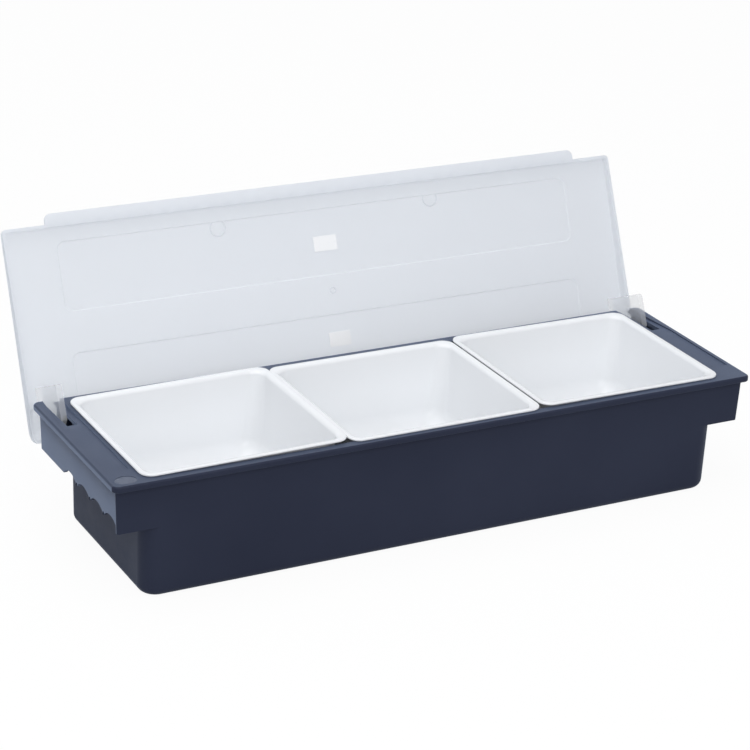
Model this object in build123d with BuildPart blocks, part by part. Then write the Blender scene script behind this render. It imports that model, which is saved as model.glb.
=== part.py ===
from build123d import *
import os
from math import cos, hypot, radians, sin, tan

# Bar condiment caddy: an ice tray with handle ends, three lift-out inserts and one hinged lid.
# Millimetres. +X runs along the tray, +Y to its rear, +Z up.
# The origin is the centre of the tray's underside, and the lid stands open on its stop.

os.makedirs("parts", exist_ok=True)

# Inserts
insert_length = 151.0
insert_width = 137.0
insert_count = 3
insert_height = 66.0
insert_wall = 1.8
insert_floor = 2.0
insert_draft = 4.5
insert_corner = 14.8
insert_floor_round = 12.5
insert_foot_round = 6.0
rim_overhang = 3.5
rim_thickness = 2.0
rim_corner = 9.0
rim_top_round = 0.8
rim_inner_round = 2.5

# How the inserts sit in the tray's opening
row_play = 3.0
row_end_gap = 1.0
row_step_gap = 0.3
depth_play = 2.6
row_shifts = (0.9, -1.0, 0.3)

# Tray
tray_height = 89.0
flange_thickness = 4.3
front_margin = 7.4
rear_margin = 10.0
end_margin = 25.5
flange_corner = 5.0
flange_top_round = 1.4
opening_corner = 8.0
rear_ledge = 2.6
tub_wall = 2.1
tub_floor = 2.5
tub_draft = 0.57
tub_corner = 13.0
tub_foot_round = 6.5

# Handle ends
end_overhang = 3.5
skirt_wall = 2.5
skirt_draft = 2.0
skirt_depth = 36.5
skirt_rear_depth = 32.7
skirt_corner = 2.0
grip_count = 4
grip_pitch = 23.7
grip_rise = 5.5
grip_rear_inset = 53.5

# Recesses in the flange ends
strip_width = 3.8
strip_rear_width = 8.0
recess_inset = 4.5
recess_front_inset = 25.0
recess_rear_inset = 51.0
recess_depth = 0.9
recess_rear_depth = 2.6
recess_lap = 1.0

# Hinge
hinge_inset = 11.7
hinge_drop = 12.9
pin_radius = 2.0
pin_clearance = 0.06
pin_end_gap = 0.3
fin_inset = 12.75
fin_thickness = 4.5
fin_front = 26.0
fin_rear = 6.5
fin_depth = 20.0
fin_toe = 1.0
fin_heel = 9.5
fin_shoulder = 18.0
fin_front_round = 3.0
slot_width = 7.5
slot_drop = 15.5
ear_thickness = 2.5
ear_reach = 6.0
ear_below = 4.5

# Lid, described closed: its y runs back from the hinge axis, and its z up from it
lid_open_angle = 114.8
lid_wall = 2.0
lid_end_inset = 1.0
lid_front_inset = 1.0
lid_rear_overhang = 0.8
lid_front_gap = 0.3
lid_rear_gap = 1.1
lid_front_rise = 6.7
lid_slope = 2.67
lid_rear_round = 10.0
lid_front_round = 3.5
lid_end_round = 3.2
lid_relief = 0.4
lip_end_inset = 33.0
lip_depth = 7.5
lip_thickness = 2.0
lip_corner = 5.0
panel_depth = 0.8
panel_corner = 6.0
panel_end_inset = 40.5
front_panel_width = 50.0
front_panel_inset = 12.3
rear_panel_width = 40.0
rear_panel_inset = 91.0

# Sizes worked out from those above
body_length = insert_length - 2 * rim_overhang
body_width = insert_width - 2 * rim_overhang
body_height = insert_height - rim_thickness
opening_length = insert_count * insert_length - 2 * rim_overhang + row_play
opening_width = body_width + depth_play
flange_length = opening_length + 2 * end_margin
flange_width = opening_width + front_margin + rear_margin
flange_under = tray_height - flange_thickness
opening_y = (front_margin - rear_margin) / 2
cavity_width = opening_width + rear_ledge
cavity_y = opening_y + rear_ledge / 2

hinge_y = flange_width / 2 - hinge_inset
hinge_z = tray_height - hinge_drop
fin_sweep = hypot(fin_front, fin_depth)
flange_rear_radius = hypot(hinge_inset, hinge_drop)
fin_centre = flange_length / 2 - fin_inset
slot_inner = fin_centre - slot_width / 2
slot_outer = fin_centre + slot_width / 2
pin_hole = pin_radius + pin_clearance
ear_span = slot_width + 2 * ear_thickness


def lean_over(angle, height):
    """How far a drafted wall leans over a height."""
    return height * tan(radians(angle))


# ---------------------------------------------------------------- tray
tub_top_length = opening_length + 2 * tub_wall
tub_top_width = cavity_width + 2 * tub_wall
tub_foot_length = tub_top_length - 2 * lean_over(tub_draft, flange_under)
tub_foot_width = tub_top_width - 2 * lean_over(tub_draft, flange_under)
skirt_foot = tray_height - skirt_depth
skirt_height = flange_under - skirt_foot
skirt_top_length = flange_length - 2 * end_overhang
skirt_foot_length = skirt_top_length - 2 * lean_over(skirt_draft, skirt_height)
skirt_foot_width = tub_top_width - 2 * lean_over(tub_draft, skirt_height)
hollow_length = skirt_foot_length - 2 * skirt_wall
hollow_width = skirt_foot_width - 2 * skirt_wall

skirt_rear_edge = tray_height - skirt_rear_depth
grip_start_y = flange_width / 2 - grip_rear_inset
grip_radius = ((grip_pitch / 2) ** 2 + grip_rise**2) / (2 * grip_rise)
grip_centre_z = skirt_rear_edge + grip_rise - grip_radius

strip_x = flange_length / 2 - strip_width
strip_rear_x = flange_length / 2 - strip_rear_width
recess_x = opening_length / 2 + recess_inset
recess_front_y = recess_front_inset - flange_width / 2
recess_rear_y = flange_width / 2 - recess_rear_inset
recess_fall = Plane(
    origin=(0, recess_rear_y, tray_height - recess_depth),
    x_dir=(1, 0, 0),
    z_dir=(0, recess_rear_depth - recess_depth, recess_rear_inset),
)
slot_front_y = hinge_y - fin_sweep

ear_front_y = hinge_y - ear_reach
ear_length = hollow_width / 2 + skirt_wall / 2 - ear_front_y
ear_height = flange_under - hinge_z + ear_below
outer_ear_thickness = hollow_length / 2 + skirt_wall / 2 - slot_outer

with BuildPart() as tray:
    # the handle ends' skirt, a drafted ring
    with BuildSketch(Plane.XY.offset(skirt_foot)):
        RectangleRounded(skirt_foot_length, skirt_foot_width, skirt_corner)
    with BuildSketch(Plane.XY.offset(flange_under)):
        RectangleRounded(skirt_top_length, tub_top_width, skirt_corner)
    loft(ruled=True)
    with BuildSketch(Plane.XY.offset(skirt_foot)):
        Rectangle(hollow_length, hollow_width)
    extrude(amount=skirt_height, mode=Mode.SUBTRACT)

    # its lower edge: straight at the rear, then one arch for each finger
    with BuildSketch(Plane.YZ):
        with Locations((grip_start_y, skirt_rear_edge)):
            Rectangle(flange_width, skirt_depth, align=(Align.MIN, Align.MAX))
            Rectangle(flange_width, skirt_depth, align=(Align.MAX, Align.MAX))
        for grip in range(grip_count):
            with Locations((grip_start_y - (grip + 0.5) * grip_pitch, grip_centre_z)):
                Circle(grip_radius)
        with Locations((-hollow_width / 2, skirt_rear_edge)):
            Rectangle(flange_width, flange_width, align=(Align.MAX, Align.CENTER), mode=Mode.SUBTRACT)
    extrude(amount=flange_length / 2, both=True, mode=Mode.SUBTRACT)

    # the flange
    with BuildSketch(Plane.XY.offset(flange_under)):
        RectangleRounded(flange_length, flange_width, flange_corner)
    extrude(amount=flange_thickness)
    fillet(tray.faces().sort_by(Axis.Z)[-1].outer_wire().edges(), flange_top_round)

    # the ears that carry the hinge pins
    with BuildSketch(Plane.XY.offset(flange_under)):
        for side in (-1, 1):
            with Locations((side * (slot_inner - ear_thickness / 2), ear_front_y)):
                Rectangle(ear_thickness, ear_length, align=(Align.CENTER, Align.MIN))
            with Locations((side * (slot_outer + outer_ear_thickness / 2), ear_front_y)):
                Rectangle(outer_ear_thickness, ear_length, align=(Align.CENTER, Align.MIN))
    extrude(amount=-ear_height)

    # the ice tub, narrower at the foot
    with BuildSketch():
        RectangleRounded(tub_foot_length, tub_foot_width, tub_corner)
    with BuildSketch(Plane.XY.offset(flange_under)):
        RectangleRounded(tub_top_length, tub_top_width, tub_corner)
    loft(ruled=True)
    fillet(tray.faces().sort_by(Axis.Z)[0].edges(), tub_foot_round)

    # its inside, and the opening in the flange that the inserts hang in
    with BuildSketch(Plane.XY.offset(tub_floor)):
        RectangleRounded(
            tub_foot_length - 2 * tub_wall, tub_foot_width - 2 * tub_wall, tub_corner - tub_wall
        )
    with BuildSketch(Plane.XY.offset(flange_under)):
        with Locations((0, cavity_y)):
            RectangleRounded(opening_length, cavity_width, tub_corner - tub_wall)
    loft(ruled=True, mode=Mode.SUBTRACT)
    with BuildSketch(Plane.XY.offset(flange_under)):
        with Locations((0, opening_y)):
            RectangleRounded(opening_length, opening_width, opening_corner)
    extrude(amount=flange_thickness, mode=Mode.SUBTRACT)

    # a shallow recess in each flange end, whose floor falls and narrows beside the hinge
    with BuildSketch(Plane.XY.offset(tray_height - recess_depth)):
        for side in (-1, 1):
            with Locations((side * (recess_x + strip_x) / 2, recess_front_y)):
                Rectangle(
                    strip_x - recess_x, recess_rear_y - recess_front_y, align=(Align.CENTER, Align.MIN)
                )
    extrude(amount=recess_depth, mode=Mode.SUBTRACT)
    with BuildSketch(recess_fall):
        for side in (-1, 1):
            with BuildLine():
                Polyline(
                    (side * recess_x, -recess_lap),
                    (side * strip_x, -recess_lap),
                    (side * strip_x, 0),
                    (side * strip_rear_x, recess_rear_inset),
                    (side * strip_rear_x, flange_width / 2),
                    (side * recess_x, flange_width / 2),
                    close=True,
                )
            make_face()
    extrude(amount=flange_thickness, mode=Mode.SUBTRACT)

    # the hinge slots, open through the flange's rear edge and the rear wall
    with BuildSketch(Plane.XY.offset(hinge_z - slot_drop)):
        for side in (-1, 1):
            with Locations((side * fin_centre, slot_front_y)):
                Rectangle(slot_width, flange_width, align=(Align.CENTER, Align.MIN))
    extrude(amount=hinge_drop + slot_drop, mode=Mode.SUBTRACT)

    # the pins' seats in the ears, with their mouths to the rear
    for side in (-1, 1):
        with BuildSketch(Plane.YZ.offset(side * fin_centre)):
            with Locations((hinge_y, hinge_z)):
                Circle(pin_hole)
                Rectangle(flange_width, 2 * pin_hole, align=(Align.MIN, Align.CENTER))
        extrude(amount=ear_span / 2, both=True, mode=Mode.SUBTRACT)

tray.part.label = "tray"
export_step(tray.part, "parts/tray.step")


# ------------------------------------------------------------- inserts
insert_foot_z = tray_height - body_height
insert_floor_z = insert_foot_z + insert_floor
rim_top_z = tray_height + rim_thickness
hollow_draft = 2 * lean_over(insert_draft, rim_top_z - insert_floor_z)
hollow_corner = insert_corner - insert_wall
row_start = -opening_length / 2 + row_end_gap + body_length / 2
insert_places = [row_start + place * (insert_length + row_step_gap) for place in range(insert_count)]
insert_places[-1] = -row_start
insert_names = ("insert_left", "insert_middle", "insert_right")

for name, x, shift in zip(insert_names, insert_places, row_shifts):
    insert_plane = Plane((x, opening_y + shift, 0))
    with BuildPart() as insert:
        # the body, drafted so that it lifts out
        with BuildSketch(insert_plane.offset(insert_foot_z)):
            RectangleRounded(
                body_length - 2 * lean_over(insert_draft, body_height),
                body_width - 2 * lean_over(insert_draft, body_height),
                insert_corner,
            )
        with BuildSketch(insert_plane.offset(tray_height)):
            RectangleRounded(body_length, body_width, insert_corner)
        loft(ruled=True)
        fillet(insert.faces().sort_by(Axis.Z)[0].edges(), insert_foot_round)

        # the rim that rests on the tray's flange
        with BuildSketch(insert_plane.offset(tray_height)):
            RectangleRounded(insert_length, insert_width, rim_corner)
        extrude(amount=rim_thickness)

        # the hollow, with its round floor
        with BuildSketch(insert_plane.offset(insert_floor_z)):
            RectangleRounded(
                body_length - 2 * insert_wall - hollow_draft,
                body_width - 2 * insert_wall - hollow_draft,
                hollow_corner,
            )
        with BuildSketch(insert_plane.offset(rim_top_z)):
            RectangleRounded(body_length - 2 * insert_wall, body_width - 2 * insert_wall, hollow_corner)
        loft(ruled=True, mode=Mode.SUBTRACT)
        inner_floor = insert.faces().filter_by(Axis.Z).sort_by(Axis.Z)[1]
        fillet(inner_floor.edges(), insert_floor_round)
        fillet(insert.faces().sort_by(Axis.Z)[-1].inner_wires().edges(), rim_inner_round)
        fillet(insert.faces().sort_by(Axis.Z)[-1].outer_wire().edges(), rim_top_round)

    insert.part.label = name
    export_step(insert.part, f"parts/{name}.step")


# ----------------------------------------------------------------- lid
# the closed lid's directions, turned about the hinge to where it stands open
open_turn = radians(-lid_open_angle)
roof_turn = radians(lid_slope - lid_open_angle)
lid_back = Vector(0, cos(open_turn), sin(open_turn))
lid_up = Vector(0, -sin(open_turn), cos(open_turn))
roof_up = Vector(0, -sin(roof_turn), cos(roof_turn))
hinge_point = Vector(0, hinge_y, hinge_z)

lid_half = flange_length / 2 - lid_end_inset
lip_length = flange_length - 2 * lip_end_inset
panel_length = flange_length - 2 * panel_end_inset
lid_front = hinge_inset + lid_front_inset - flange_width
lid_rear = hinge_inset + lid_rear_overhang
edge_front = hinge_drop + lid_front_gap
edge_rear = hinge_drop + lid_rear_gap
roof_front = edge_front + lid_front_rise
roof_rear = roof_front + lean_over(lid_slope, lid_rear - lid_front)
fin_roof = roof_front + lean_over(lid_slope, -fin_front - lid_front) - lid_wall / 2

lid_side = Plane(origin=hinge_point, x_dir=lid_back, z_dir=(1, 0, 0))
lid_edge = Plane(origin=hinge_point + lid_up * edge_front, x_dir=(1, 0, 0), z_dir=lid_up)
roof_origin = hinge_point + lid_back * lid_front + lid_up * roof_front
roof_inside = Plane(origin=roof_origin - roof_up * lid_wall, x_dir=(1, 0, 0), z_dir=roof_up)

with BuildPart() as lid:
    # the shell: a low wedge with a round back, open below
    with BuildSketch(lid_side) as outline:
        with BuildLine():
            Polyline(
                (lid_front, edge_front),
                (lid_front, roof_front),
                (lid_rear, roof_rear),
                (lid_rear, edge_rear),
                close=True,
            )
        make_face()
        fillet(outline.vertices().sort_by(Axis.Y)[-1], lid_rear_round)
        fillet(outline.vertices().group_by(Axis.X)[0].sort_by(Axis.Y)[-1], lid_front_round)
    extrude(amount=lid_half, both=True)
    free_edges = lid.faces().sort_by(Axis((0, 0, 0), lid_up))[0]
    end_edges = lid.faces().filter_by(Axis.X).edges() - free_edges.edges()
    fillet(end_edges, lid_end_round)
    offset(amount=-lid_wall, openings=lid.faces().sort_by(Axis((0, 0, 0), lid_up))[0])

    # relief, so that its rims swing past the flange's rear edge
    with BuildSketch(lid_side):
        Circle(flange_rear_radius + lid_relief)
    extrude(amount=lid_half, both=True, mode=Mode.SUBTRACT)

    # the front lip
    with BuildSketch(lid_edge):
        with Locations((0, lid_front + lid_wall / 2)):
            lip = Rectangle(lip_length, lip_depth + lid_wall / 2, align=(Align.CENTER, Align.MAX))
        fillet(lip.vertices().group_by(Axis.Y)[0], lip_corner)
    extrude(amount=lip_thickness)

    # two shallow panels in the roof
    with BuildSketch(roof_inside):
        with Locations((0, front_panel_inset + front_panel_width / 2)):
            RectangleRounded(panel_length, front_panel_width, panel_corner)
        with Locations((0, rear_panel_inset + rear_panel_width / 2)):
            RectangleRounded(panel_length, rear_panel_width, panel_corner)
    extrude(amount=panel_depth, mode=Mode.SUBTRACT)

    # the hinge fins, with the pins' bores
    for side in (-1, 1):
        with BuildSketch(lid_side.offset(side * fin_centre)) as fin:
            with BuildLine():
                Polyline(
                    (-fin_front, -fin_depth),
                    (-fin_toe, -fin_depth),
                    (fin_rear, -fin_heel),
                    (fin_rear, fin_shoulder),
                    (0, fin_roof),
                    (-fin_front, fin_roof),
                    close=True,
                )
            make_face()
            fillet(fin.vertices().group_by(Axis.Y)[0].sort_by(Axis.X)[0], fin_front_round)
            Circle(pin_hole, mode=Mode.SUBTRACT)
        extrude(amount=fin_thickness / 2, both=True)

lid.part.label = "lid"
export_step(lid.part, "parts/lid.step")


# ---------------------------------------------------------- hinge pins
for name, side in (("hinge_pin_left", -1), ("hinge_pin_right", 1)):
    with BuildPart() as pin:
        with BuildSketch(Plane.YZ.offset(side * fin_centre)):
            with Locations((hinge_y, hinge_z)):
                Circle(pin_radius)
        extrude(amount=ear_span / 2 - pin_end_gap, both=True)
        chamfer(pin.faces().filter_by(Axis.X).edges(), pin_radius / 5)
    pin.part.label = name
    export_step(pin.part, f"parts/{name}.step")
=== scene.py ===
from math import cos, hypot, pi, radians, sin, tan

import bpy
from mathutils import Matrix, Vector


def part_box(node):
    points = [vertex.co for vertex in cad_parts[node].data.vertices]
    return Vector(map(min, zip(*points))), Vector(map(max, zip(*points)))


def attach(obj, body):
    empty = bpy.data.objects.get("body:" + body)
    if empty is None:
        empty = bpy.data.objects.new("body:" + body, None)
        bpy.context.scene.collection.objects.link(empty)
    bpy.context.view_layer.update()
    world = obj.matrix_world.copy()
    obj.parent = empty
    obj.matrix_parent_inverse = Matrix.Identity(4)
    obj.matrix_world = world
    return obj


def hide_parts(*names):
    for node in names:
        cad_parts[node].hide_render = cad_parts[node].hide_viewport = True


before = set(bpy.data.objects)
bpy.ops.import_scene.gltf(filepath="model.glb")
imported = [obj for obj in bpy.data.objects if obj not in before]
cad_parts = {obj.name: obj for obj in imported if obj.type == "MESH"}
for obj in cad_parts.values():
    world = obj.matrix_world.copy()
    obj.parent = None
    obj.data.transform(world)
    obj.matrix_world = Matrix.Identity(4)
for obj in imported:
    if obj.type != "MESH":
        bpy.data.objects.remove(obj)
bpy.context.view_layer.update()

MM = 0.001

# Places read from the frame, in millimetres
tray_low, tray_high = [Vector(corner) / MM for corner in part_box("tray")]
flange_length = tray_high.x - tray_low.x
flange_width = tray_high.y - tray_low.y
tray_height = tray_high.z - tray_low.z
pin_low, pin_high = [Vector(corner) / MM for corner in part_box("hinge_pin_right")]
hinge_y = (pin_low.y + pin_high.y) / 2
hinge_z = (pin_low.z + pin_high.z) / 2
fin_centre = (pin_low.x + pin_high.x) / 2
pin_radius = (pin_high.z - pin_low.z) / 2
insert_boxes = {
    name: [Vector(corner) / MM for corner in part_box(name)]
    for name in ("insert_left", "insert_middle", "insert_right")
}

# Tray
flange_thickness = 4.3
flange_corner = 5.0
flange_top_round = 1.4
flange_foot_round = 0.7
opening_length = 449.0
opening_width = 132.6
opening_y = -1.3
opening_corner = 8.0
tub_wall = 2.1
tub_floor = 2.5
tub_draft = 0.57
tub_corner = 13.0
tub_foot_round = 6.5
tub_inner_round = 4.0
cavity_width = 135.2

# The moulding mark on the flange's front left corner, its bottom painted with a highlight
dimple_x = -238.0
dimple_y = -65.5
dimple_size = (15.0, 12.0, 0.2)

# Handle ends
end_overhang = 3.5
skirt_wall = 2.5
skirt_draft = 2.0
skirt_depth = 36.5
skirt_rear_depth = 32.7
skirt_corner = 2.0
grip_count = 4
grip_pitch = 23.7
grip_rise = 5.5
grip_rear_inset = 49.5
grip_pit = 1.1
grip_pit_rise = 1.7
grip_pit_floor = 0.4

# Flange recesses
strip_width = 3.8
strip_rear_width = 8.0
recess_inset = 4.5
recess_front_inset = 25.0
recess_rear_inset = 51.0
recess_depth = 0.9
recess_rear_depth = 2.6

# Hinge
hinge_inset = flange_width / 2 - hinge_y
hinge_drop = tray_height - hinge_z
pin_clearance = 0.06
fin_thickness = 4.5
fin_front = 26.0
fin_rear = 6.5
fin_depth = 20.0
fin_toe = 1.0
fin_heel = 9.5
fin_shoulder = 18.0
fin_front_round = 3.0
slot_width = 7.5
slot_drop = 15.5
ear_thickness = 2.5
ear_reach = 6.0
ear_below = 4.5

# Lid
lid_open_angle = 114.8
lid_wall = 2.0
lid_end_inset = 1.0
lid_front_inset = 1.0
lid_rear_overhang = 0.8
lid_front_gap = 0.3
lid_rear_gap = 1.1
lid_front_rise = 6.7
lid_slope = 2.67
lid_rear_round = 10.0
lid_front_round = 3.5
lid_end_round = 3.2
lid_relief = 0.4
lip_length = 434.0
lip_depth = 7.5
lip_thickness = 2.0
lip_bite = 0.05
lip_corner = 5.0
panel_depth = 0.8
panel_lean = 0.9
panel_corner = 6.0
panel_length = 419.0
front_panel_width = 50.0
front_panel_inset = 12.3
rear_panel_width = 40.0
rear_panel_inset = 91.0
lid_front = hinge_y + hinge_inset + lid_front_inset - flange_width
pad_rise = 0.4
pad_root = 0.4
mark_rise = 0.6

# Pads by their ends along x and y, and ring marks by place, radius and depth in the roof,
# with y measured from the hinge
pads = ((-11.0, 8.0, -104.5, -93.3), (-8.7, 8.8, -32.8, -22.1))
marks = (
    (-85.4, -120.0, 5.8, 0.8),
    (90.4, -121.9, 5.8, 0.8),
    (-0.7, -63.8, 2.2, 0.0),
)

# Inserts
insert_wall = 1.8
insert_floor = 2.0
insert_draft = 4.5
insert_corner = 14.8
insert_floor_round = 16.0
insert_foot_round = 6.0
rim_overhang = 3.5
rim_thickness = 2.0
rim_corner = 9.0
rim_top_round = 0.8
rim_foot_round = 0.8
rim_inner_round = 3.0
rim_inner_corner = 7.3
throat_corner = 9.5
rim_fall = 0.08

# How far the outer inserts tilt, as their inner sides ride up on the middle one's rim
insert_tilts = {"insert_left": -0.5, "insert_middle": 0.0, "insert_right": 0.4}

# How a rounded corner is divided, how far a cutter reaches past what it cuts, the slack in the
# tests for faces, and how exactly two places have to agree to be the same
corner_segments = 10
past = 5.0
slack = 0.05
same = 0.001


# ------------------------------------------------------------ modelling
def only(*pieces):
    """Selects these pieces alone, the first of them active."""
    bpy.ops.object.select_all(action="DESELECT")
    for piece in pieces:
        piece.select_set(True)
    bpy.context.view_layer.objects.active = pieces[0]


def settle(name):
    """Names the new primitive, and keeps its place, turn and scale in its mesh."""
    piece = bpy.context.object
    piece.name = name
    piece.data.name = name
    bpy.ops.object.transform_apply(location=True, rotation=True, scale=True)
    return piece


def block(name, low, high):
    """A box between two corners."""
    middle = [(a + b) / 2 * MM for a, b in zip(low, high)]
    sides = [(b - a) * MM for a, b in zip(low, high)]
    bpy.ops.object.select_all(action="DESELECT")
    bpy.ops.mesh.primitive_cube_add(size=1, location=middle, scale=sides)
    return settle(name)


def rod(name, radius, y, z, x_low, x_high, sides=48):
    """A round bar along X."""
    bpy.ops.object.select_all(action="DESELECT")
    bpy.ops.mesh.primitive_cylinder_add(
        vertices=sides,
        radius=radius * MM,
        depth=(x_high - x_low) * MM,
        location=((x_low + x_high) / 2 * MM, y * MM, z * MM),
        rotation=(0, pi / 2, 0),
    )
    return settle(name)


def pick(piece, kind, wanted):
    """Selects the vertices, edges or faces that a test wants, and leaves the piece in edit mode.
    The test is given a place for a vertex, two places for an edge, and a middle and a normal for a face,
    in millimetres."""
    only(piece)
    bpy.ops.object.mode_set(mode="EDIT")
    bpy.ops.mesh.select_mode(type=kind)
    bpy.ops.mesh.select_all(action="DESELECT")
    bpy.ops.object.mode_set(mode="OBJECT")
    mesh = piece.data
    places = [vertex.co / MM for vertex in mesh.vertices]
    if kind == "VERT":
        for vertex in mesh.vertices:
            vertex.select = wanted(places[vertex.index])
    if kind == "EDGE":
        for edge in mesh.edges:
            edge.select = wanted(*[places[end] for end in edge.vertices])
    if kind == "FACE":
        for face in mesh.polygons:
            face.select = wanted(face.center / MM, face.normal)
    bpy.ops.object.mode_set(mode="EDIT")


def leave():
    bpy.ops.object.mode_set(mode="OBJECT")


def shift_corners(piece, wanted, x=0.0, z=0.0):
    """Moves the corners that a test wants along X and Z."""
    pick(piece, "VERT", wanted)
    bpy.ops.transform.translate(value=(x * MM, 0, z * MM))
    leave()


def round_edges(piece, wanted, radius, segments):
    """Rounds the edges that a test wants."""
    pick(piece, "EDGE", wanted)
    bpy.ops.mesh.bevel(
        offset_type="OFFSET", offset=radius * MM, segments=segments, profile=0.5, affect="EDGES"
    )
    leave()


def apply_modifier(piece, kind, **settings):
    """Adds a modifier with its settings, and applies it."""
    only(piece)
    modifier = piece.modifiers.new(kind.lower(), kind)
    for key, value in settings.items():
        setattr(modifier, key, value)
    bpy.ops.object.modifier_apply(modifier=modifier.name)


def combine(piece, others, operation):
    """Cuts the others out of the piece, or joins them to it, and removes them."""
    for other in others:
        apply_modifier(piece, "BOOLEAN", object=other, operation=operation, solver="EXACT")
        bpy.data.objects.remove(other)


def cut(piece, *cutters):
    combine(piece, cutters, "DIFFERENCE")


def fuse(piece, *others):
    combine(piece, others, "UNION")


def ring(length, width, corner, z, x=0.0, y=0.0):
    """One level of a rounded rectangular form: an open loop with the same count of points at every
    size."""
    bpy.ops.object.select_all(action="DESELECT")
    bpy.ops.mesh.primitive_plane_add(size=1, location=(x * MM, y * MM, z * MM))
    level = bpy.context.object
    level.scale = (length * MM, width * MM, 1)
    bpy.ops.object.transform_apply(location=True, rotation=True, scale=True)
    bpy.ops.object.mode_set(mode="EDIT")
    bpy.ops.mesh.select_all(action="SELECT")
    bpy.ops.mesh.bevel(
        offset_type="OFFSET",
        offset=corner * MM,
        segments=corner_segments,
        profile=0.5,
        affect="VERTICES",
        clamp_overlap=False,
    )
    bpy.ops.mesh.select_all(action="SELECT")
    bpy.ops.mesh.delete(type="ONLY_FACE")
    leave()
    return level


def stack(name, levels):
    """A form bridged through its levels, from the first to the last, and closed at both."""
    rings = [ring(*level) for level in levels]
    for number, level in enumerate(rings):
        group = level.vertex_groups.new(name=f"level{number}")
        group.add(range(len(level.data.vertices)), 1.0, "REPLACE")
    only(*rings)
    bpy.ops.object.join()
    piece = bpy.context.object
    piece.name = name
    piece.data.name = name
    bpy.ops.object.mode_set(mode="EDIT")
    for number in range(len(levels) - 1):
        bpy.ops.mesh.select_all(action="DESELECT")
        choose_levels(piece, number, number + 1)
        bpy.ops.mesh.bridge_edge_loops()
    for number in (0, len(levels) - 1):
        bpy.ops.mesh.select_all(action="DESELECT")
        choose_levels(piece, number)
        bpy.ops.mesh.edge_face_add()
    bpy.ops.mesh.select_all(action="SELECT")
    bpy.ops.mesh.normals_make_consistent(inside=False)
    leave()
    piece.vertex_groups.clear()
    return piece


def choose_levels(piece, *numbers):
    """Adds these levels of a stack to the selection."""
    for number in numbers:
        piece.vertex_groups.active = piece.vertex_groups[f"level{number}"]
        bpy.ops.object.vertex_group_select()


def round_levels(length, width, corner, steps):
    """Levels that go in by each step of a round, at the height given with it."""
    return [(length - 2 * inward, width - 2 * inward, corner - inward, z) for inward, z in steps]


def finish_surface(piece, material, body, nodes, edge=0.0, angle=35.0):
    """Softens the piece's edges, shades it, and gives it its material and its place in the frame."""
    if edge:
        apply_modifier(
            piece,
            "BEVEL",
            width=edge * MM,
            segments=2,
            limit_method="ANGLE",
            angle_limit=radians(angle),
            miter_outer="MITER_ARC",
            use_clamp_overlap=True,
        )
    only(piece)
    bpy.ops.object.shade_smooth_by_angle(angle=radians(angle))
    apply_modifier(piece, "WEIGHTED_NORMAL", keep_sharp=True)
    if not piece.data.materials:
        piece.data.materials.append(material)
    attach(piece, body)
    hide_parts(*nodes)


def turn_about(piece, place, axis, angle):
    """Turns a piece about an axis through a place, and keeps the turn in its mesh."""
    shift = Matrix.Translation(Vector(place) * MM)
    piece.matrix_world = shift @ Matrix.Rotation(radians(angle), 4, axis) @ shift.inverted()
    only(piece)
    bpy.ops.object.transform_apply(location=True, rotation=True, scale=True)
    return piece


def merge_flats(piece):
    """Joins the parts of flat faces that the cuts and unions left apart."""
    pick(piece, "VERT", lambda place: True)
    bpy.ops.mesh.remove_doubles(threshold=0.002 * MM)
    bpy.ops.mesh.dissolve_limited(angle_limit=radians(0.5), delimit={"MATERIAL"})
    leave()


def lean_over(angle, height):
    """How far a drafted wall leans over a height."""
    return height * tan(radians(angle))


def arc_steps(radius, steps):
    """How far in from a wall, and how far down from where a quarter round starts, for each step of it."""
    turns = [step / steps * pi / 2 for step in range(steps + 1)]
    return [(radius * (1 - cos(turn)), radius * sin(turn)) for turn in turns]


# ------------------------------------------------------------ materials
def new_material(name):
    material = bpy.data.materials.new(name)
    material.use_nodes = True
    nodes = material.node_tree.nodes
    return material, nodes, material.node_tree.links, nodes["Principled BSDF"]


def noise_field(nodes, links, scale, detail=3.0, roughness=0.5):
    """A noise on the piece's own coordinates, in metres."""
    place = nodes.new("ShaderNodeTexCoord")
    noise = nodes.new("ShaderNodeTexNoise")
    noise.inputs["Scale"].default_value = scale
    noise.inputs["Detail"].default_value = detail
    noise.inputs["Roughness"].default_value = roughness
    links.new(place.outputs["Object"], noise.inputs["Vector"])
    return noise.outputs["Fac"]


def between(nodes, links, field, low, high):
    """The field spread between two values."""
    spread = nodes.new("ShaderNodeMapRange")
    spread.inputs["From Min"].default_value = 0.3
    spread.inputs["From Max"].default_value = 0.7
    spread.inputs["To Min"].default_value = low
    spread.inputs["To Max"].default_value = high
    links.new(field, spread.inputs["Value"])
    return spread.outputs["Result"]


def tint(nodes, links, field, first, second):
    """A colour that drifts between two with the field."""
    mix = nodes.new("ShaderNodeMix")
    mix.data_type = "RGBA"
    mix.inputs[6].default_value = (*first, 1)
    mix.inputs[7].default_value = (*second, 1)
    links.new(between(nodes, links, field, 0.0, 1.0), mix.inputs[0])
    return mix.outputs[2]


def grain(nodes, links, height, distance, strength):
    """A bump from a height field."""
    bump = nodes.new("ShaderNodeBump")
    bump.inputs["Strength"].default_value = strength
    bump.inputs["Distance"].default_value = distance
    links.new(height, bump.inputs["Height"])
    return bump


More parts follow.
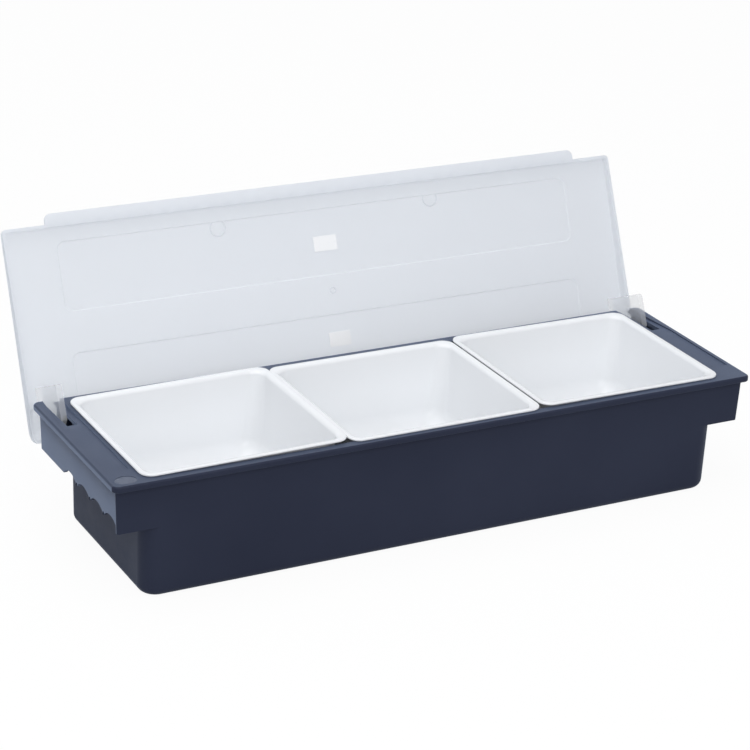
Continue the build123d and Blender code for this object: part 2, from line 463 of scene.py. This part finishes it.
def tray_plastic(name, roughness, specular, sheen):
    """Dark navy moulded plastic with a fine spark grain."""
    material, nodes, links, shader = new_material(name)
    cloud = noise_field(nodes, links, 9.0)
    navy = tint(nodes, links, cloud, (0.0235, 0.0285, 0.052), (0.0295, 0.0355, 0.062))
    links.new(navy, shader.inputs["Base Color"])
    wear = noise_field(nodes, links, 60.0)
    links.new(between(nodes, links, wear, roughness - 0.04, roughness + 0.04), shader.inputs["Roughness"])
    fine = grain(nodes, links, noise_field(nodes, links, 2400.0, 2.0), 0.00006, 0.35)
    links.new(fine.outputs["Normal"], shader.inputs["Normal"])
    shader.inputs["Specular IOR Level"].default_value = specular
    shader.inputs["Sheen Weight"].default_value = sheen
    shader.inputs["Sheen Roughness"].default_value = 0.4
    shader.inputs["Sheen Tint"].default_value = (0.55, 0.7, 1.0, 1)
    return material


def insert_plastic():
    """Glossy white plastic with a faint moulded waviness."""
    material, nodes, links, shader = new_material("insert_plastic")
    cloud = noise_field(nodes, links, 12.0)
    white = tint(nodes, links, cloud, (0.85, 0.864, 0.882), (0.862, 0.876, 0.894))
    links.new(white, shader.inputs["Base Color"])
    links.new(between(nodes, links, noise_field(nodes, links, 40.0), 0.2, 0.26), shader.inputs["Roughness"])
    wave = grain(nodes, links, noise_field(nodes, links, 35.0, 1.0), 0.0004, 0.12)
    links.new(wave.outputs["Normal"], shader.inputs["Normal"])
    shader.inputs["IOR"].default_value = 1.5
    return material


def lid_plastic(name, first, second, roughness, clearness, passing, through=0.0):
    """Frosted translucent plastic, faintly blue, which also passes a share of the light from behind,
    and shows a share of what lies behind it."""
    material, nodes, links, shader = new_material(name)
    cloud = noise_field(nodes, links, 7.0)
    links.new(tint(nodes, links, cloud, first, second), shader.inputs["Base Color"])
    wear = noise_field(nodes, links, 80.0)
    links.new(between(nodes, links, wear, roughness - 0.04, roughness + 0.04), shader.inputs["Roughness"])
    frost = grain(nodes, links, noise_field(nodes, links, 1800.0, 2.0), 0.00005, 0.3)
    links.new(frost.outputs["Normal"], shader.inputs["Normal"])
    shader.inputs["Transmission Weight"].default_value = clearness
    shader.inputs["IOR"].default_value = 1.45
    glow = nodes.new("ShaderNodeBsdfTranslucent")
    glow.inputs["Color"].default_value = (0.96, 0.98, 1.0, 1)
    mix = nodes.new("ShaderNodeMixShader")
    mix.inputs["Fac"].default_value = passing
    links.new(shader.outputs["BSDF"], mix.inputs[1])
    links.new(glow.outputs["BSDF"], mix.inputs[2])
    window = nodes.new("ShaderNodeBsdfTransparent")
    pane = nodes.new("ShaderNodeMixShader")
    pane.inputs["Fac"].default_value = through
    links.new(mix.outputs["Shader"], pane.inputs[1])
    links.new(window.outputs["BSDF"], pane.inputs[2])
    links.new(pane.outputs["Shader"], nodes["Material Output"].inputs["Surface"])
    return material


def pin_steel():
    """Drawn steel."""
    material, nodes, links, shader = new_material("pin_steel")
    shader.inputs["Metallic"].default_value = 1.0
    cloud = noise_field(nodes, links, 300.0)
    grey = tint(nodes, links, cloud, (0.55, 0.55, 0.57), (0.62, 0.62, 0.63))
    links.new(grey, shader.inputs["Base Color"])
    links.new(between(nodes, links, cloud, 0.22, 0.34), shader.inputs["Roughness"])
    return material


# ----------------------------------------------------------------- tray
def on_a_shaded_wall(middle, normal):
    """Whether a face of the tray lies on its front, its rear, its underside or the tub's outside: the faces
    that get painted shade from a low-sheen copy of the tray plastic.
    """
    if middle.x * normal.x + middle.y * normal.y < 0:
        return False
    on_front_round = middle.y < -opening_width / 2 and normal.y < -0.15
    if abs(normal.y) > 0.9 or normal.z < -0.3 or on_front_round:
        return True
    below_skirt = middle.z < tray_height - skirt_depth + 1
    return below_skirt and abs(middle.x) < opening_length / 2 + tub_wall + 1


def on_a_pit(middle, normal):
    """Whether a face of the tray lies in one of the pits between the finger arches, where a copy of the
    tray plastic without sheen or gloss is painted shade.
    """
    rise = tray_height - skirt_rear_depth + grip_pit_rise
    skirt_x = fin_centre - 2
    for grip in range(1, grip_count):
        tip_y = flange_width / 2 - grip_rear_inset - grip * grip_pitch
        if abs(middle.x) > skirt_x and hypot(middle.y - tip_y, middle.z - rise) < grip_pit + slack:
            return True
    return False


def on_the_mark(middle, normal):
    """Whether a face of the tray is the bottom of the moulding mark, which gets a painted highlight from a
    glossier copy of the tray plastic.
    """
    length, width, depth = dimple_size
    away = hypot((middle.x - dimple_x) / length, (middle.y - dimple_y) / width)
    return normal.z > 0.9 and away < 0.4 and middle.z < tray_height - depth / 2


def paint(piece, material, wanted):
    """Gives the faces that a test wants a material of their own."""
    piece.data.materials.append(material)
    pick(piece, "FACE", wanted)
    piece.active_material_index = len(piece.data.materials) - 1
    bpy.ops.object.material_slot_assign()
    leave()


def tray(material, shaded_wall_material, mark_material, pit_shade_material):
    """The tray: handle ends, flange and tub joined, then hollowed, and cut for the hinge."""
    flange_under = tray_height - flange_thickness
    cavity_y = opening_y + (cavity_width - opening_width) / 2
    head_length = opening_length + 2 * tub_wall
    head_width = cavity_width + 2 * tub_wall
    foot_length = head_length - 2 * lean_over(tub_draft, flange_under)
    foot_width = head_width - 2 * lean_over(tub_draft, flange_under)

    # the handle ends' skirt, with its finger arches
    skirt_foot = tray_height - skirt_depth
    skirt_height = flange_under - skirt_foot
    skirt_length = flange_length - 2 * end_overhang
    skirt_foot_length = skirt_length - 2 * lean_over(skirt_draft, skirt_height)
    skirt_foot_width = head_width - 2 * lean_over(tub_draft, skirt_height)
    piece = stack(
        "tray_body",
        [
            (skirt_foot_length, skirt_foot_width, skirt_corner, skirt_foot),
            (skirt_length, head_width, skirt_corner, flange_under),
        ],
    )
    hollow_x = skirt_foot_length / 2 - skirt_wall
    hollow_y = skirt_foot_width / 2 - skirt_wall
    low = (-hollow_x, -hollow_y, skirt_foot - past)
    cut(piece, block("hollow", low, (hollow_x, hollow_y, flange_under + past)))
    rear_edge = tray_height - skirt_rear_depth
    grip_start = flange_width / 2 - grip_rear_inset
    grip_radius = ((grip_pitch / 2) ** 2 + grip_rise**2) / (2 * grip_rise)
    reach = flange_length / 2 + past
    low = (-reach, -hollow_y, skirt_foot - past)
    cut(piece, block("lower_edge", low, (reach, flange_width, rear_edge)))
    for grip in range(grip_count):
        arch_y = grip_start - (grip + 0.5) * grip_pitch
        arch = rod("arch", grip_radius, arch_y, rear_edge + grip_rise - grip_radius, -reach, reach, 96)
        if arch_y - grip_pitch / 2 < -hollow_y:
            cut(arch, block("end", (-reach - 1, -flange_width, 0), (reach + 1, -hollow_y, tray_height)))
        cut(piece, arch)
        if grip:
            tip_y = grip_start - grip * grip_pitch
            for side in (-1, 1):
                outer = side * skirt_length / 2
                xs = sorted((side * (hollow_x + grip_pit_floor), outer + side * end_overhang / 2))
                cut(piece, rod("pit", grip_pit, tip_y, rear_edge + grip_pit_rise, *xs, 24))

    # the ears under the flange
    slot_inner = fin_centre - slot_width / 2
    slot_outer = fin_centre + slot_width / 2
    ears = ((slot_inner - ear_thickness, slot_inner), (slot_outer, hollow_x + skirt_wall / 2))
    for side in (-1, 1):
        for near, far in ears:
            xs = sorted((side * near, side * far))
            low = (xs[0], hinge_y - ear_reach, hinge_z - ear_below)
            high = (xs[1], hollow_y + skirt_wall / 2, flange_under + 1)
            fuse(piece, block("ear", low, high))

    # the flange and the tub
    steps = [
        (inward, flange_under + flange_foot_round - downward)
        for inward, downward in reversed(arc_steps(flange_foot_round, 3))
    ]
    top = tray_height - flange_top_round
    steps += [(inward, top + upward) for inward, upward in arc_steps(flange_top_round, 4)]
    fuse(piece, stack("flange", round_levels(flange_length, flange_width, flange_corner, steps)))
    steps = [
        (inward, tub_foot_round - downward) for inward, downward in reversed(arc_steps(tub_foot_round, 6))
    ]
    tub_levels = round_levels(foot_length, foot_width, tub_corner, steps)
    tub_levels.append((head_length, head_width, tub_corner, flange_under + 1))
    fuse(piece, stack("tub", tub_levels))

    # the tub's inside and the opening
    inner_corner = tub_corner - tub_wall
    steps = [
        (inward, tub_floor + tub_inner_round - downward)
        for inward, downward in reversed(arc_steps(tub_inner_round, 4))
    ]
    inner_levels = round_levels(foot_length - 2 * tub_wall, foot_width - 2 * tub_wall, inner_corner, steps)
    inner_levels.append((opening_length, cavity_width, inner_corner, flange_under, 0, cavity_y))
    inner_levels.append((opening_length, opening_width, opening_corner, flange_under + 0.1, 0, opening_y))
    inner_levels.append((opening_length, opening_width, opening_corner, tray_height + 1, 0, opening_y))
    cut(piece, stack("cavity", inner_levels))

    # the recesses, the slots and the pins' seats
    recess_x = opening_length / 2 + recess_inset
    strip_x = flange_length / 2 - strip_width
    strip_rear_x = flange_length / 2 - strip_rear_width
    front_y = recess_front_inset - flange_width / 2
    rear_y = flange_width / 2 - recess_rear_inset
    slot_front = hinge_y - hypot(fin_front, fin_depth)
    pin_hole = pin_radius + pin_clearance
    ear_span = slot_width + 2 * ear_thickness
    for side in (-1, 1):
        xs = sorted((side * recess_x, side * strip_x))
        recess = block(
            "recess", (xs[0], front_y, tray_height - recess_depth), (xs[1], rear_y, tray_height + 2)
        )
        pick(recess, "FACE", lambda middle, normal: normal.y > 0.9)
        bpy.ops.mesh.extrude_region_move(
            TRANSFORM_OT_translate={"value": (0, (recess_rear_inset + 1) * MM, 0)}
        )
        leave()
        shift_corners(
            recess,
            lambda p: p.y > rear_y + 1 and abs(p.x) > (recess_x + strip_x) / 2,
            x=side * (strip_rear_x - strip_x),
        )
        shift_corners(
            recess, lambda p: p.y > rear_y + 1 and p.z < tray_height, z=recess_depth - recess_rear_depth
        )
        cut(piece, recess)
        xs = sorted((side * slot_inner, side * slot_outer))
        low = (xs[0], slot_front, hinge_z - slot_drop)
        cut(piece, block("slot", low, (xs[1], flange_width, tray_height + 1)))
        xs = (side * fin_centre - ear_span / 2, side * fin_centre + ear_span / 2)
        seat = rod("seat", pin_hole, hinge_y, hinge_z, *xs)
        low = (xs[0], hinge_y, hinge_z - pin_hole)
        fuse(seat, block("mouth", low, (xs[1], flange_width, hinge_z + pin_hole)))
        cut(piece, seat)

    # the moulding mark
    bpy.ops.object.select_all(action="DESELECT")
    bpy.ops.mesh.primitive_cylinder_add(
        vertices=64,
        radius=0.5,
        depth=2,
        location=(dimple_x * MM, dimple_y * MM, tray_height * MM),
        scale=[size * MM for size in dimple_size],
    )
    cut(piece, settle("dimple"))
    merge_flats(piece)
    piece.data.materials.append(material)
    # a low-sheen copy of the tray plastic on the tub's walls, the front, the rear and the undersides:
    # painted shade
    paint(piece, shaded_wall_material, on_a_shaded_wall)
    # a glossier copy of the tray plastic in the moulding mark: a painted highlight
    paint(piece, mark_material, on_the_mark)
    # a copy of the tray plastic without sheen or gloss in the pits: painted shade
    paint(piece, pit_shade_material, on_a_pit)
    finish_surface(piece, material, "tray", ["tray"], edge=0.3)
    return piece


# -------------------------------------------------------------- inserts
def insert_pan(name, material):
    """One insert: levels up its outside, over its rim and down its inside to the floor."""
    low, high = insert_boxes[name]
    x = (low.x + high.x) / 2
    y = (low.y + high.y) / 2
    rim_length = high.x - low.x
    rim_width = high.y - low.y
    under = high.z - rim_thickness
    body_length = rim_length - 2 * rim_overhang
    body_width = rim_width - 2 * rim_overhang
    levels = []

    # outside, from the foot up
    for inward, downward in reversed(arc_steps(insert_foot_round, 5)):
        level = low.z + insert_foot_round - downward
        shrink = inward + lean_over(insert_draft, under - level)
        levels.append((body_length - 2 * shrink, body_width - 2 * shrink, insert_corner - inward, level))
    levels.append((body_length, body_width, insert_corner, under))

    # the rim
    steps = [(rim_foot_round, under + rim_fall), (0, under + rim_foot_round)]
    top = high.z - rim_top_round
    steps += [(inward, top + upward) for inward, upward in arc_steps(rim_top_round, 3)]
    levels += round_levels(rim_length, rim_width, rim_corner, steps)

    # inside, over the rim's inner edge and down to the floor
    inner_length = body_length - 2 * insert_wall
    inner_width = body_width - 2 * insert_wall
    inner_corner = insert_corner - insert_wall
    for outward, upward in reversed(arc_steps(rim_inner_round, 8)):
        levels.append(
            (
                inner_length + 2 * outward,
                inner_width + 2 * outward,
                throat_corner + (rim_inner_corner - throat_corner) * outward / rim_inner_round,
                high.z - rim_inner_round - rim_fall + upward,
            )
        )
    for inward, downward in arc_steps(insert_floor_round, 10):
        level = low.z + insert_floor + insert_floor_round - downward
        shrink = inward + lean_over(insert_draft, high.z - level)
        length = inner_length - 2 * shrink
        width = inner_width - 2 * shrink
        corner = inner_corner * min(length / inner_length, width / inner_width)
        levels.append((length, width, corner, level))
    piece = stack(f"{name}_pan", [(*level, x, y) for level in levels])
    tilt = insert_tilts[name]
    turn_about(piece, (low.x if tilt < 0 else high.x, 0, under), "Y", tilt)
    finish_surface(piece, material, name, [name])
    return piece


# ------------------------------------------------------------------ lid
def roof_z(y):
    """The closed lid's roof height at a place along it."""
    return tray_height + lid_front_gap + lid_front_rise + lean_over(lid_slope, y - lid_front)


def lay_on_roof(piece, y):
    """Tilts a level piece by the roof's slope, about the roof's inside at y."""
    return turn_about(piece, (0, y, roof_z(y) - lid_wall), "X", lid_slope)


def lid_wedge(name, inset, below):
    """The closed lid's outer form, or the form of its inside where it is inset by a wall."""
    half = flange_length / 2 - lid_end_inset - inset
    front = lid_front + inset
    rear = hinge_y + hinge_inset + lid_rear_overhang - inset
    high = tray_height + 20
    low_edge = tray_height + 2
    piece = block(name, (-half, front, tray_height + lid_front_gap - below), (half, rear, high))
    shift_corners(piece, lambda p: p.z > high - 10 and p.y < 0, z=roof_z(front) - inset - high)
    shift_corners(piece, lambda p: p.z > high - 10 and p.y > 0, z=roof_z(rear) - inset - high)
    shift_corners(piece, lambda p: p.z < low_edge and p.y > 0, z=lid_rear_gap - lid_front_gap)
    round_edges(
        piece,
        lambda a, b: min(a.y, b.y) > 0 and min(a.z, b.z) > tray_height + 5,
        lid_rear_round - inset,
        10,
    )
    round_edges(
        piece,
        lambda a, b: max(a.y, b.y) < 0 and min(a.z, b.z) > low_edge and abs(a.x - b.x) > 1,
        lid_front_round - inset,
        6,
    )
    round_edges(
        piece,
        lambda a, b: abs(a.x - b.x) < same
        and abs(abs(a.x) - half) < same
        and not (min(a.y, b.y) < 0 < max(a.y, b.y) and max(a.z, b.z) < low_edge),
        lid_end_round - inset,
        6,
    )
    return piece


def lid(material, pad_material, mark_material, fin_material):
    """The lid, made closed: a hollow wedge with its panels, marks, lip and fins, then turned open."""
    piece = lid_wedge("lid_shell", 0, 0)
    cut(piece, lid_wedge("inside", lid_wall, past))

    # relief behind the hinge
    reach = flange_length / 2 + past
    relief = hypot(hinge_inset, hinge_drop) + lid_relief
    cut(piece, rod("relief", relief, hinge_y, hinge_z, -reach, reach, 96))

    # the shallow roof panels
    for inset, width in ((front_panel_inset, front_panel_width), (rear_panel_inset, rear_panel_width)):
        middle = lid_front + inset + width / 2
        z = roof_z(middle) - lid_wall
        steps = [(0, z - 2), (0, z), (panel_lean, z + panel_depth)]
        levels = round_levels(panel_length, width, panel_corner, steps)
        panel = stack("panel", [(*level, 0, middle) for level in levels])
        cut(piece, lay_on_roof(panel, middle))

    # bare raised pads, ejector rings and the gate mark in the panels
    for x_low, x_high, y_low, y_high in pads:
        low_y = hinge_y + y_low
        high_y = hinge_y + y_high
        middle = (low_y + high_y) / 2
        z = roof_z(middle) - lid_wall + panel_depth
        pad = block("pad", (x_low, low_y, z - pad_rise), (x_high, high_y, z + pad_root))
        fuse(piece, lay_on_roof(pad, middle))
    for x, y, radius, depth in marks:
        middle = hinge_y + y
        z = roof_z(middle) - lid_wall + depth
        bpy.ops.object.select_all(action="DESELECT")
        bpy.ops.mesh.primitive_torus_add(
            major_segments=40,
            minor_segments=12,
            major_radius=radius * MM,
            minor_radius=mark_rise * MM,
            location=(x * MM, middle * MM, z * MM),
        )
        fuse(piece, lay_on_roof(settle("mark"), middle))

    # the front lip
    edge = tray_height + lid_front_gap
    lip = block(
        "lip",
        (-lip_length / 2, lid_front - lip_depth, edge),
        (lip_length / 2, lid_front + lip_bite, edge + lip_thickness),
    )
    round_edges(lip, lambda a, b: abs(a.z - b.z) > 1 and max(a.y, b.y) < lid_front - 1, lip_corner, 8)
    fuse(piece, lip)

    # the hinge fins
    for side in (-1, 1):
        fuse(piece, hinge_fin(side))
    piece.data.materials.append(material)
    paint(piece, pad_material, on_a_pad)
    paint(piece, mark_material, on_a_mark)
    paint(piece, fin_material, on_a_fin)
    merge_flats(piece)
    turn_about(piece, (0, hinge_y, hinge_z), "X", -lid_open_angle)
    finish_surface(piece, material, "lid", ["lid"], edge=0.25)
    return piece


def on_a_fin(middle, normal):
    """Whether a face of the closed lid lies on one of the fins."""
    beside = abs(abs(middle.x) - fin_centre) < fin_thickness / 2 + 0.2
    return beside and middle.z < roof_z(middle.y) - lid_wall - 0.3


def on_a_pad(middle, normal):
    """Whether a face of the closed lid is the face of one of the pads."""
    if normal.z > -0.9 or middle.z > roof_z(middle.y) - lid_wall + panel_depth - pad_rise / 2:
        return False
    for x_low, x_high, y_low, y_high in pads:
        if x_low < middle.x < x_high and y_low < middle.y - hinge_y < y_high:
            return True
    return False


def on_a_mark(middle, normal):
    """Whether a face of the closed lid lies on one of the ring marks."""
    for x, y, radius, depth in marks:
        away = hypot(middle.x - x, middle.y - hinge_y - y)
        surface = roof_z(middle.y) - lid_wall + depth
        if abs(away - radius) < mark_rise and middle.z < surface - slack:
            return True
    return False


def hinge_fin(side):
    """A fin from the closed lid's roof down through the slot, with the pin's bore."""
    x = side * fin_centre
    roof = roof_z(hinge_y - fin_front) - lid_wall / 2
    fin = block(
        "fin",
        (x - fin_thickness / 2, hinge_y - fin_front, hinge_z - fin_depth),
        (x + fin_thickness / 2, hinge_y + fin_rear, roof),
    )
    # each cutter slopes on beyond the fin's rear, to twice the length and rise of its slope
    left, right = x - past, x + past
    heel = block(
        "heel",
        (left, hinge_y - fin_toe, hinge_z - 2 * fin_depth),
        (right, hinge_y + fin_toe + 2 * fin_rear, hinge_z - fin_depth),
    )
    shift_corners(
        heel,
        lambda p: p.y > hinge_y and p.z > hinge_z - 1.5 * fin_depth,
        z=2 * (fin_depth - fin_heel),
    )
    cut(fin, heel)
    shoulder = block("shoulder", (left, hinge_y, roof), (right, hinge_y + 2 * fin_rear, roof + 20))
    shift_corners(
        shoulder,
        lambda p: p.y > hinge_y + 1 and p.z < roof + 10,
        z=2 * (hinge_z + fin_shoulder - roof),
    )
    cut(fin, shoulder)
    round_edges(
        fin,
        lambda a, b: abs(a.x - b.x) > 1
        and max(a.y, b.y) < hinge_y - fin_front + 1
        and max(a.z, b.z) < hinge_z,
        fin_front_round,
        6,
    )
    cut(fin, rod("bore", pin_radius + pin_clearance, hinge_y, hinge_z, left, right))
    return fin


# ----------------------------------------------------------- hinge pins
def hinge_pin(name, material):
    """One pin, with its ends softened."""
    low, high = [Vector(corner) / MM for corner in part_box(name)]
    piece = rod(f"{name}_rod", pin_radius, hinge_y, hinge_z, low.x, high.x, 32)
    finish_surface(piece, material, "hinge_pins", [name], edge=0.4)
    return piece


# ------------------------------------------------------ floor and light
def floor():
    """White paper that is seen as white, by the camera, through the plastic and partly in its gloss,
    but lights the object no more than plain grey paper would. It keeps the object's shadow."""
    bpy.ops.object.select_all(action="DESELECT")
    bpy.ops.mesh.primitive_plane_add(size=40, location=(0, 0, 0))
    piece = settle("floor")
    material, nodes, links, shader = new_material("floor")
    shader.inputs["Roughness"].default_value = 0.6
    path = nodes.new("ShaderNodeLightPath")
    paper = nodes.new("ShaderNodeMix")
    paper.data_type = "RGBA"
    paper.inputs[6].default_value = (0.5, 0.51, 0.53, 1)
    paper.inputs[7].default_value = (1, 1, 1, 1)
    links.new(path.outputs["Is Camera Ray"], paper.inputs[0])
    links.new(paper.outputs[2], shader.inputs["Base Color"])
    glow = nodes.new("ShaderNodeEmission")
    glow.inputs["Color"].default_value = (1, 1, 1, 1)
    glow.inputs["Strength"].default_value = 1.0
    seen = nodes.new("ShaderNodeMath")
    seen.operation = "MULTIPLY_ADD"
    seen.inputs[1].default_value = 0.3
    links.new(path.outputs["Is Glossy Ray"], seen.inputs[0])
    links.new(path.outputs["Is Camera Ray"], seen.inputs[2])
    passed = nodes.new("ShaderNodeMath")
    passed.operation = "ADD"
    passed.use_clamp = True
    links.new(seen.outputs[0], passed.inputs[0])
    links.new(path.outputs["Is Transmission Ray"], passed.inputs[1])
    share = nodes.new("ShaderNodeMath")
    share.operation = "MULTIPLY"
    share.inputs[1].default_value = 0.94
    links.new(passed.outputs[0], share.inputs[0])
    mix = nodes.new("ShaderNodeMixShader")
    links.new(share.outputs[0], mix.inputs["Fac"])
    links.new(shader.outputs["BSDF"], mix.inputs[1])
    links.new(glow.outputs["Emission"], mix.inputs[2])
    links.new(mix.outputs["Shader"], nodes["Material Output"].inputs["Surface"])
    piece.data.materials.append(material)


def softbox(name, place, power):
    """A square soft light that faces the object."""
    light = bpy.data.lights.new(name, "AREA")
    light.shape = "RECTANGLE"
    light.size, light.size_y = 1.6, 1.6
    light.energy = power
    lamp = bpy.data.objects.new(name, light)
    bpy.context.scene.collection.objects.link(lamp)
    lamp.location = place
    target = Vector((0, 0, 0.05))
    lamp.rotation_euler = (target - Vector(place)).to_track_quat("-Z", "Y").to_euler()


def studio():
    """A plain world, a little brighter from above, behind and the left, with two soft lights."""
    world = bpy.data.worlds.new("studio")
    bpy.context.scene.world = world
    world.use_nodes = True
    nodes = world.node_tree.nodes
    links = world.node_tree.links
    sky = nodes["Background"]
    sky.inputs["Color"].default_value = (0.96, 0.972, 1.0, 1)
    place = nodes.new("ShaderNodeTexCoord")
    lean = nodes.new("ShaderNodeVectorMath")
    lean.operation = "DOT_PRODUCT"
    lean.inputs[1].default_value = (-0.5, 0.35, 0.79)
    links.new(place.outputs["Generated"], lean.inputs[0])
    spread = nodes.new("ShaderNodeMapRange")
    spread.inputs["From Min"].default_value = -0.5
    spread.inputs["From Max"].default_value = 0.6
    spread.inputs["To Min"].default_value = 0.4
    spread.inputs["To Max"].default_value = 0.58
    links.new(lean.outputs["Value"], spread.inputs["Value"])
    links.new(spread.outputs["Result"], sky.inputs["Strength"])
    softbox("key", (-0.6, 0.0, 2.0), 17)
    softbox("fill", (-0.3, -2.2, 1.4), 23)


def camera():
    """The photograph's view, with its focal length in pixels of a 750 pixel frame."""
    frame_pixels = 750
    focal_pixels = 2467.6
    yaw, pitch, roll = radians(28.876), radians(22.753), radians(-2.739)
    forward = Vector((sin(yaw) * cos(pitch), cos(yaw) * cos(pitch), -sin(pitch)))
    level_right = Vector((cos(yaw), -sin(yaw), 0))
    down = forward.cross(level_right)
    right = cos(roll) * level_right + sin(roll) * down
    down = forward.cross(right)
    data = bpy.data.cameras.new("camera")
    data.sensor_width = 36
    data.lens = focal_pixels / frame_pixels * data.sensor_width
    data.clip_end = 100
    eye = bpy.data.objects.new("camera", data)
    bpy.context.scene.collection.objects.link(eye)
    turn = Matrix((right, -down, -forward)).transposed()
    eye.matrix_world = Matrix.Translation(Vector((-0.79555, -1.40245, 0.77477))) @ turn.to_4x4()
    bpy.context.scene.camera = eye


# ---------------------------------------------------------------- scene
tray(
    tray_plastic("tray_plastic", 0.4, 0.18, 1.0),
    # a low-sheen copy beside the full-sheen one above: painted shade on the tub's walls, the front, the
    # rear and the undersides
    tray_plastic("tray_shaded_wall_plastic", 0.42, 0.1, 0.19),
    # a glossier copy for the moulding mark: a painted highlight
    tray_plastic("tray_mark_highlight_plastic", 0.24, 0.9, 1.0),
    # a copy without sheen or gloss for the pits: painted shade
    tray_plastic("tray_pit_shade_plastic", 0.6, 0.0, 0.0),
)
white = insert_plastic()
for insert_name in insert_boxes:
    insert_pan(insert_name, white)
lid(
    lid_plastic("lid_plastic", (0.93, 0.95, 0.995), (0.94, 0.96, 1.0), 0.44, 0.35, 0.55),
    lid_plastic("pad_plastic", (0.96, 0.965, 0.975), (0.965, 0.97, 0.98), 0.3, 0.0, 0.05),
    lid_plastic("mark_plastic", (0.8, 0.82, 0.87), (0.82, 0.84, 0.89), 0.44, 0.35, 0.3),
    lid_plastic("fin_plastic", (0.96, 0.97, 0.995), (0.97, 0.98, 1.0), 0.34, 0.2, 0.3, 0.72),
)
steel = pin_steel()
for pin_name in ("hinge_pin_left", "hinge_pin_right"):
    hinge_pin(pin_name, steel)
floor()
studio()
camera()
bpy.context.scene.view_settings.view_transform = "Standard"
